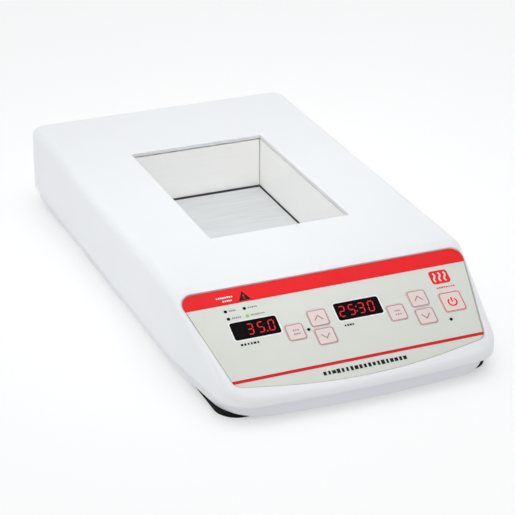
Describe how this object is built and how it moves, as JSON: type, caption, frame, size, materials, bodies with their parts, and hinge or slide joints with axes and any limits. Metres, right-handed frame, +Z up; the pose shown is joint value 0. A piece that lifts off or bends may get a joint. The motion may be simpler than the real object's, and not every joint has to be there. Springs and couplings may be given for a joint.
{
  "type": "dry block heater",
  "caption": "Low bench heater with a deep rectangular well for heating blocks and a sloping control panel with keys and displays.",
  "frame": {"origin": "on the table, under the middle of the casing", "axes": "+X to the user's right, +Y to the back, +Z up; the sloping panel faces -Y"},
  "size_m": [0.206, 0.3799, 0.06],
  "materials": {
    "case_plastic": "cool white moulded casing, fine satin texture",
    "tray_plastic": "pale grey moulded floor pan",
    "foot_rubber": "black rubber",
    "screw_steel": "zinc plated",
    "overlay_film": "pale grey-green printed film",
    "key_plastic": "pale pinkish film key with a dusky red outline",
    "dome_steel": "stainless snap dome",
    "window_filter": "dark red filter",
    "display_plastic": "black display body",
    "led_dark": "unlit indicator",
    "led_green": "lit green indicator",
    "circuit_board": "green solder mask",
    "spacer_nylon": "natural nylon",
    "liner_sheet": "satin folded sheet",
    "plate_metal": "machined aluminium",
    "ceramic": "ceramic",
    "mat_silicone": "silicone heater mat",
    "fibre": "ceramic fibre",
    "probe_steel": "plated metal",
    "bakelite": "black body",
    "iron_core": "laminated core and wound coil",
    "heatsink": "finned aluminium",
    "terminal_nylon": "green nylon",
    "inlet_plastic": "black moulding",
    "fuse_glass": "glass cartridge",
    "wire_jacket": "insulated wire"
  },
  "bodies": {
    "body": {"top_housing": "case_plastic", "base_tray": "tray_plastic", "rubber_feet": "foot_rubber", "foot_screws": "screw_steel", "base_screws": "screw_steel", "board_screws": "screw_steel", "liner_screws": "screw_steel", "power_board_screws": "screw_steel", "inlet_screws": "screw_steel", "inlet_nuts": "screw_steel", "control_overlay": "overlay_film", "key_domes": "dome_steel", "display_window_temp": "window_filter", "display_window_time": "window_filter", "display_module_temp": "display_plastic", "display_module_time": "display_plastic", "indicator_leds": "led_dark", "ready_led": "led_green", "control_board": "circuit_board", "power_board": "circuit_board", "board_spacers": "spacer_nylon", "well_liner": "liner_sheet", "heater_plate": "plate_metal", "plate_standoffs": "ceramic", "heater_mat": "mat_silicone", "base_insulation": "fibre", "well_insulation": "fibre", "temperature_probe": "probe_steel", "inlet_pins": "probe_steel", "thermal_cutout": "bakelite", "relay": "bakelite", "triac": "bakelite", "capacitors": "bakelite", "transformer": "iron_core", "triac_heatsink": "heatsink", "terminal_block": "terminal_nylon", "mains_inlet": "inlet_plastic", "heater_leads": "wire_jacket", "mains_leads": "wire_jacket", "earth_lead": "wire_jacket", "probe_lead": "wire_jacket", "ribbon_cable": "wire_jacket"},
    "temp_on_off_key": {"temp_on_off_key": "key_plastic"},
    "temp_up_key": {"temp_up_key": "key_plastic"},
    "temp_down_key": {"temp_down_key": "key_plastic"},
    "time_on_off_key": {"time_on_off_key": "key_plastic"},
    "time_up_key": {"time_up_key": "key_plastic"},
    "time_down_key": {"time_down_key": "key_plastic"},
    "standby_key": {"standby_key": "key_plastic"},
    "fuse_holder": {"fuse_drawer": "inlet_plastic", "fuses": "fuse_glass"}
  },
  "joints": [
    {"name": "temp_on_off_press", "type": "slide", "parent": "body", "child": "temp_on_off_key", "axis": [0, 0.4772, -0.8788], "range_m": [0, 0.0004], "stiffness_N_per_m": 4000},
    {"name": "temp_up_press", "type": "slide", "parent": "body", "child": "temp_up_key", "axis": [0, 0.4772, -0.8788], "range_m": [0, 0.0004], "stiffness_N_per_m": 4000},
    {"name": "temp_down_press", "type": "slide", "parent": "body", "child": "temp_down_key", "axis": [0, 0.4772, -0.8788], "range_m": [0, 0.0004], "stiffness_N_per_m": 4000},
    {"name": "time_on_off_press", "type": "slide", "parent": "body", "child": "time_on_off_key", "axis": [0, 0.4772, -0.8788], "range_m": [0, 0.0004], "stiffness_N_per_m": 4000},
    {"name": "time_up_press", "type": "slide", "parent": "body", "child": "time_up_key", "axis": [0, 0.4772, -0.8788], "range_m": [0, 0.0004], "stiffness_N_per_m": 4000},
    {"name": "time_down_press", "type": "slide", "parent": "body", "child": "time_down_key", "axis": [0, 0.4772, -0.8788], "range_m": [0, 0.0004], "stiffness_N_per_m": 4000},
    {"name": "standby_press", "type": "slide", "parent": "body", "child": "standby_key", "axis": [0, 0.4772, -0.8788], "range_m": [0, 0.0004], "stiffness_N_per_m": 4000},
    {"name": "fuse_drawer_slide", "type": "slide", "parent": "body", "child": "fuse_holder", "axis": [0, 1, 0], "range_m": [0, 0.02]}
  ]
}
